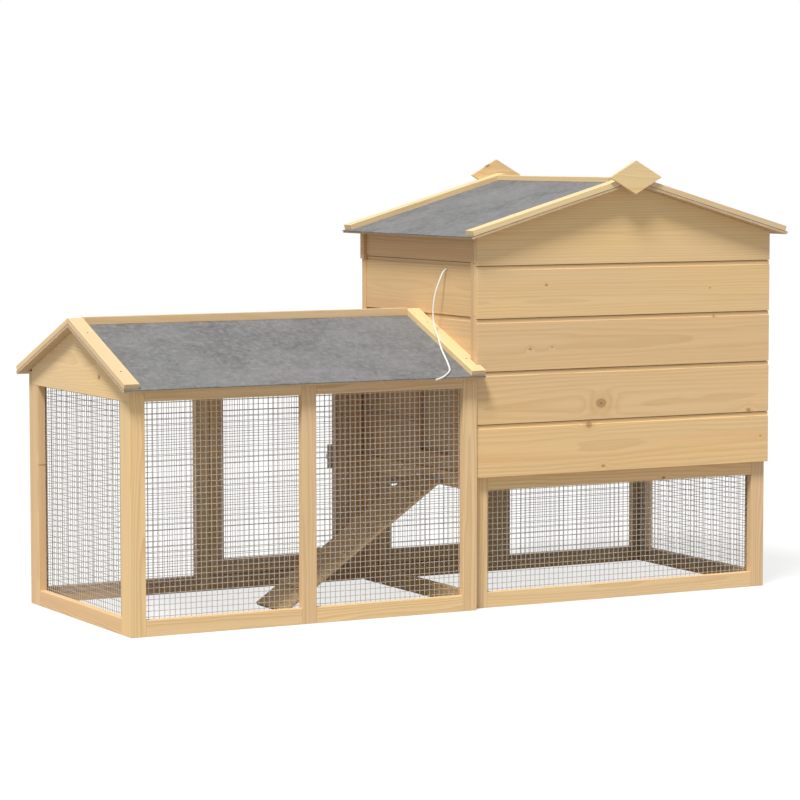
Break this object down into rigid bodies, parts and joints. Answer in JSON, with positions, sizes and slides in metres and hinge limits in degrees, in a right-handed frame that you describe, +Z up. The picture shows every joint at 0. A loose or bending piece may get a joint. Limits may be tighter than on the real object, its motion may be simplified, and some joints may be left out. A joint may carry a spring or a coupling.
{
  "type": "rabbit hutch",
  "caption": "Two-level wooden rabbit hutch: a gabled wire-mesh run beside a boarded gable house over a meshed ground level, with rear doors, tray, ramp and pull-cord hatch",
  "frame": {"origin": "middle of the bounding box at ground level", "axes": "+X along the length from the run to the house, +Y to the rear where the doors are, +Z up"},
  "size_m": [1.7266, 0.6651, 1.0321],
  "materials": {
    "fir": "planed solid fir, unpainted, satin",
    "fir_light": "planed solid fir, pale, satin",
    "plywood": "plywood sheet, raw",
    "felt": "grey mineral-surfaced roofing felt, matte",
    "wire": "galvanised welded wire",
    "zinc": "zinc-plated steel",
    "cord": "white braided cord"
  },
  "bodies": {
    "hutch": {"run_front_frame": "fir", "run_end_frame": "fir", "run_gable_board": "fir", "run_rear_frame": "fir", "run_front_mesh": "wire", "run_end_mesh": "wire", "run_rear_mesh": "wire", "run_roof_front_sheet": "plywood", "run_roof_rear_sheet": "plywood", "run_felt": "felt", "run_roof_planks": "fir_light", "run_ridge_strip": "fir_light", "ground_front_frame": "fir", "ground_end_frame": "fir", "ground_rear_frame": "fir", "partition_rails": "fir", "rear_cover_strip": "fir", "ground_front_mesh": "wire", "ground_end_mesh": "wire", "ground_rear_mesh": "wire", "house_floor": "plywood", "house_front_boards": "fir", "house_left_boards": "fir", "house_right_boards": "fir", "house_wall_battens": "fir", "house_rear_frame": "fir", "house_rear_boards": "fir", "house_rear_gable": "fir", "house_roof_left_sheet": "plywood", "house_roof_right_sheet": "plywood", "house_felt": "felt", "house_roof_planks": "fir_light", "house_ridge_strip": "fir_light", "gable_diamonds": "fir_light", "tray_runners": "fir", "pop_door_slides": "fir", "hinge_fixed_halves": "zinc", "bolt_keepers": "zinc", "roof_screws": "zinc", "outer_cord": "cord", "inner_cord": "cord"},
    "run_door": {"run_door_frame": "fir", "run_door_mesh": "wire", "run_door_fittings": "zinc"},
    "run_bolt": {"run_door_bolt": "zinc"},
    "ground_door": {"ground_door_frame": "fir", "ground_door_mesh": "wire", "ground_door_fittings": "zinc"},
    "ground_bolt": {"ground_door_bolt": "zinc"},
    "house_door": {"house_door_frame": "fir", "house_door_boards": "fir", "house_door_fittings": "zinc"},
    "house_bolt": {"house_door_bolt": "zinc"},
    "tray": {"tray_pan": "zinc", "tray_front": "fir"},
    "hatch": {"pop_door": "plywood", "pop_door_eye": "zinc"},
    "ramp": {"ramp_board": "fir", "ramp_cleats": "fir_light", "ramp_hinges": "zinc"}
  },
  "joints": [
    {"name": "run_door_hinge", "type": "hinge", "parent": "hutch", "child": "run_door", "pos_m": [-0.3895, 0.301, 0.275], "axis": [0, 0, 1], "range_deg": [0, 120]},
    {"name": "ground_door_hinge", "type": "hinge", "parent": "hutch", "child": "ground_door", "pos_m": [0.0565, 0.2805, 0.157], "axis": [0, 0, 1], "range_deg": [0, 120]},
    {"name": "house_door_hinge", "type": "hinge", "parent": "hutch", "child": "house_door", "pos_m": [0.0645, 0.293, 0.562], "axis": [0, 0, 1], "range_deg": [0, 110]},
    {"name": "run_bolt_slide", "type": "slide", "parent": "run_door", "child": "run_bolt", "axis": [1, 0, 0], "range_m": [0, 0.02]},
    {"name": "ground_bolt_slide", "type": "slide", "parent": "ground_door", "child": "ground_bolt", "axis": [1, 0, 0], "range_m": [0, 0.02]},
    {"name": "house_bolt_slide", "type": "slide", "parent": "house_door", "child": "house_bolt", "axis": [1, 0, 0], "range_m": [0, 0.02]},
    {"name": "tray_slide", "type": "slide", "parent": "hutch", "child": "tray", "axis": [0, 1, 0], "range_m": [0, 0.5]},
    {"name": "pop_door_slide", "type": "slide", "parent": "hutch", "child": "hatch", "axis": [0, 0, 1], "range_m": [0, 0.165], "deforming": ["inner_cord"]},
    {"name": "ramp_hinge", "type": "hinge", "parent": "hutch", "child": "ramp", "pos_m": [0.02065, -0.062, 0.2804], "axis": [0, 1, 0], "range_deg": [0, 60]}
  ]
}
